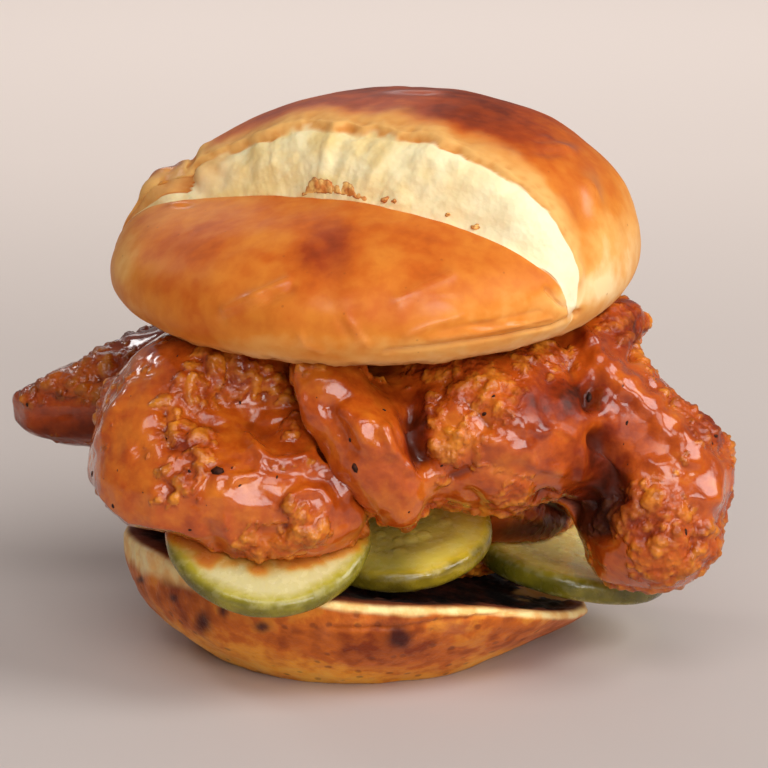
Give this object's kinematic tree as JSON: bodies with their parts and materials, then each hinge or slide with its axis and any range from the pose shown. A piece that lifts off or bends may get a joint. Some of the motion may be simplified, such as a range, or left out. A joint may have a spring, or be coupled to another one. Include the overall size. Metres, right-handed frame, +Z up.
{
  "type": "chicken burger",
  "caption": "Fried chicken burger: sauced chicken and pickle slices in a toasted bun whose crown has split open along the top.",
  "frame": {"origin": "middle of the flat underside of the bun's heel, on the surface that the burger stands on", "axes": "+Z up, +X to the right of the front (the side where the pickles show), +Y to the back"},
  "size_m": [0.1504, 0.11, 0.116],
  "materials": {
    "bun": "baked, egg-washed crust with a soft gloss; pale open crumb in the split",
    "pickle": "wet, translucent",
    "chicken": "crisp fried batter under a wet, glossy sauce"
  },
  "bodies": {
    "root": {"bun_heel": "bun", "bun_crown": "bun", "pickle_left": "pickle", "pickle_middle": "pickle", "pickle_right": "pickle", "chicken_left": "chicken", "chicken_right": "chicken", "chicken_back": "chicken"}
  },
  "joints": []
}
